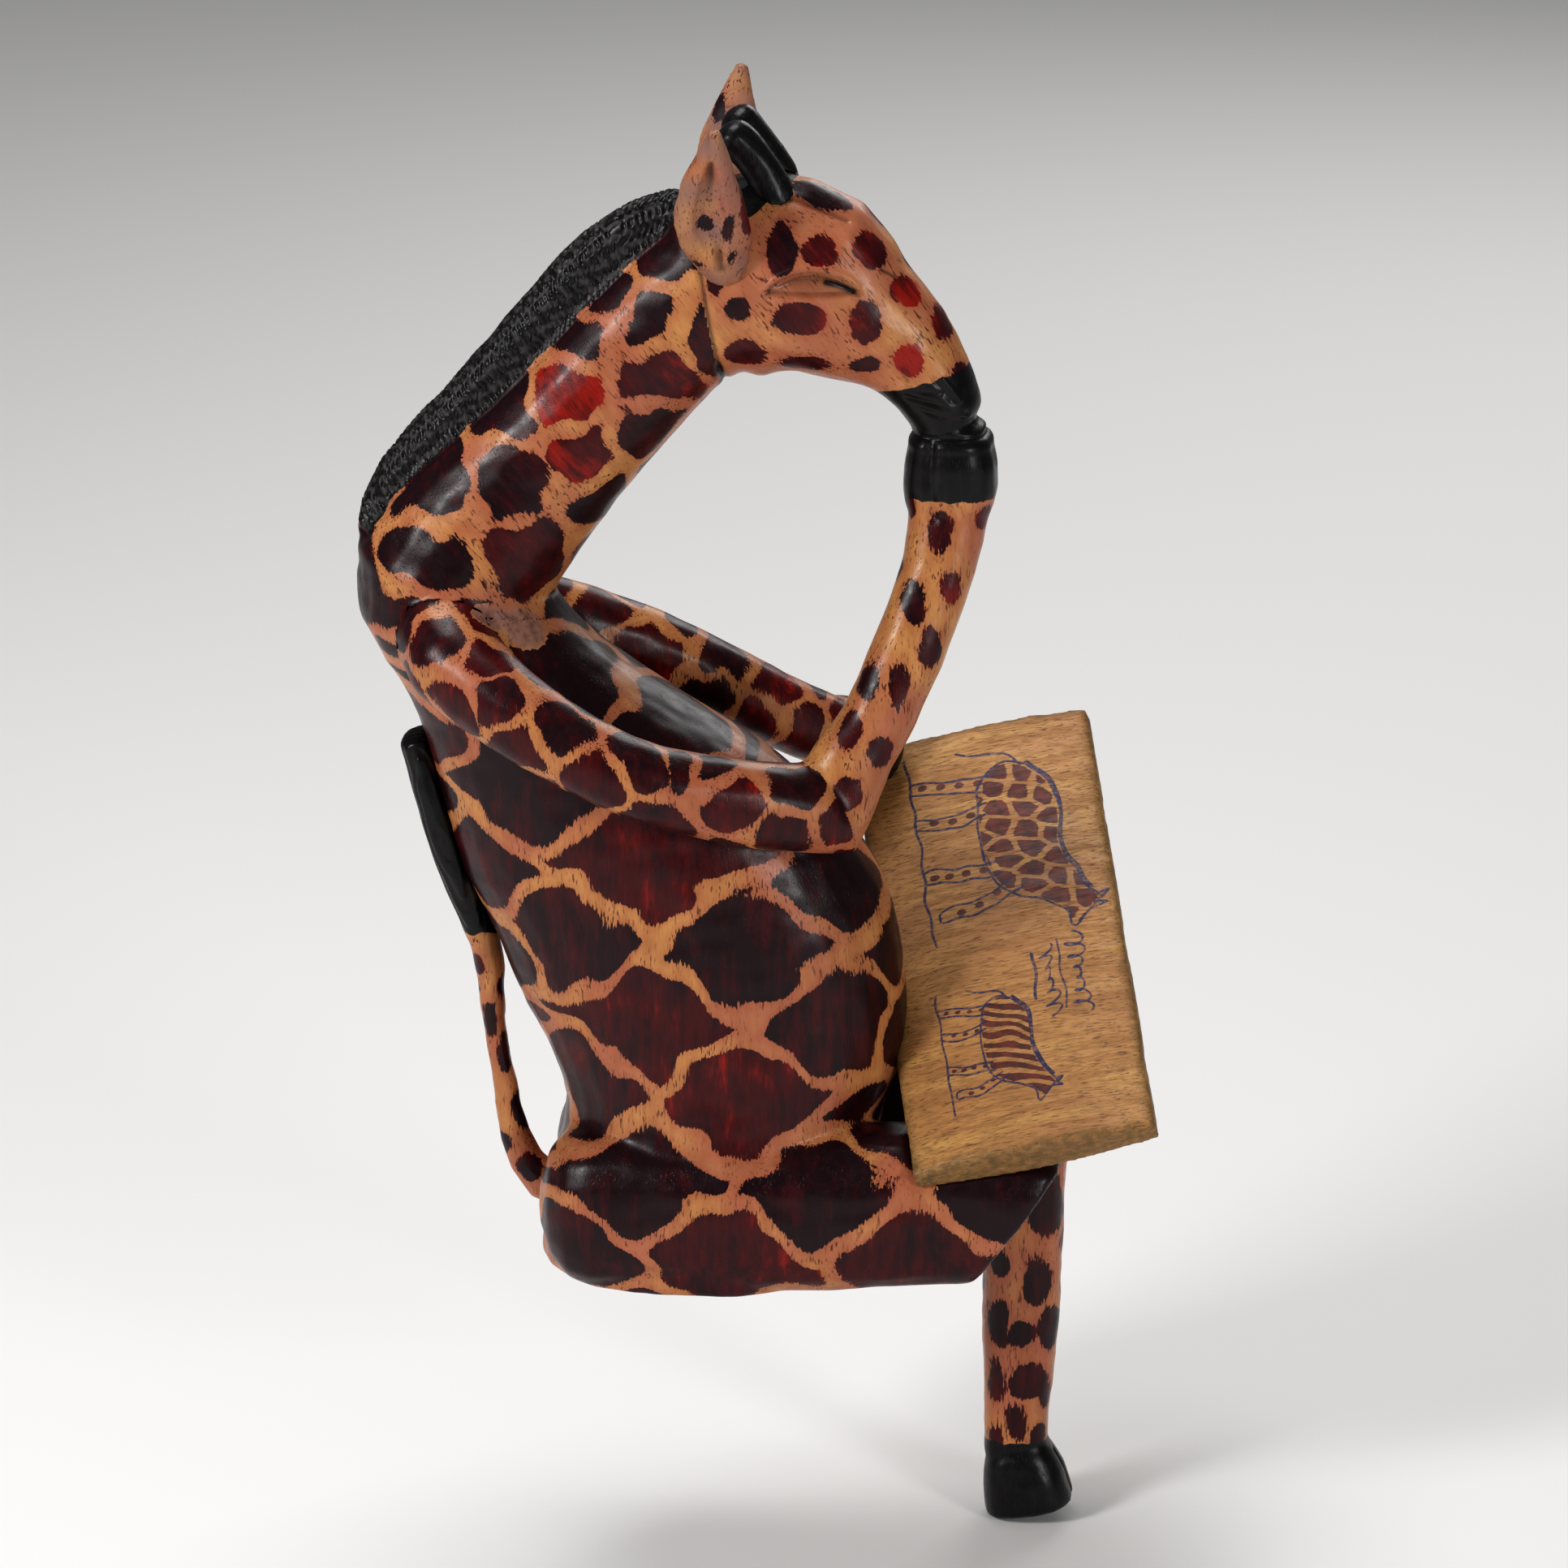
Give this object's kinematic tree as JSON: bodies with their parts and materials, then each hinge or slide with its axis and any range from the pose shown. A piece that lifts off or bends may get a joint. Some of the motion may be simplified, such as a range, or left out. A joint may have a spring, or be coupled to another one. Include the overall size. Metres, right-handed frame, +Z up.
{
  "type": "carved giraffe statue",
  "caption": "Hand-carved wooden giraffe shelf sitter that reads a slab book with its chin on one hoof; stained spots, black mane and hooves.",
  "frame": {"origin": "on the flat sawn underside of the seat, under the belly, where it rests on the shelf", "axes": "+Z up along the body's height, +X the way the giraffe faces, its right side towards -Y"},
  "size_m": [0.1668, 0.1013, 0.3115],
  "materials": {
    "stained_wood": "hand-rubbed satin polish over burgundy stained spots on bare tan wood",
    "black_wood": "black stain, satin polish",
    "slab_wood": "bare pale wood, lightly waxed, ink drawing",
    "dowel_wood": "bare hidden dowel"
  },
  "bodies": {
    "root": {"torso": "stained_wood", "neck": "stained_wood", "head": "stained_wood", "right_ear": "stained_wood", "left_ear": "stained_wood", "right_upper_arm": "stained_wood", "right_forearm": "stained_wood", "left_arm": "stained_wood", "right_shin": "stained_wood", "left_lower_leg": "stained_wood", "tail": "stained_wood", "right_horn": "black_wood", "left_horn": "black_wood", "book": "slab_wood", "neck_dowel": "dowel_wood", "head_dowel": "dowel_wood", "right_shoulder_dowel": "dowel_wood", "left_shoulder_dowel": "dowel_wood", "right_elbow_dowel": "dowel_wood", "right_knee_dowel": "dowel_wood", "left_knee_dowel": "dowel_wood", "tail_peg": "dowel_wood", "right_ear_peg": "dowel_wood", "left_ear_peg": "dowel_wood", "book_peg": "dowel_wood"}
  },
  "joints": []
}
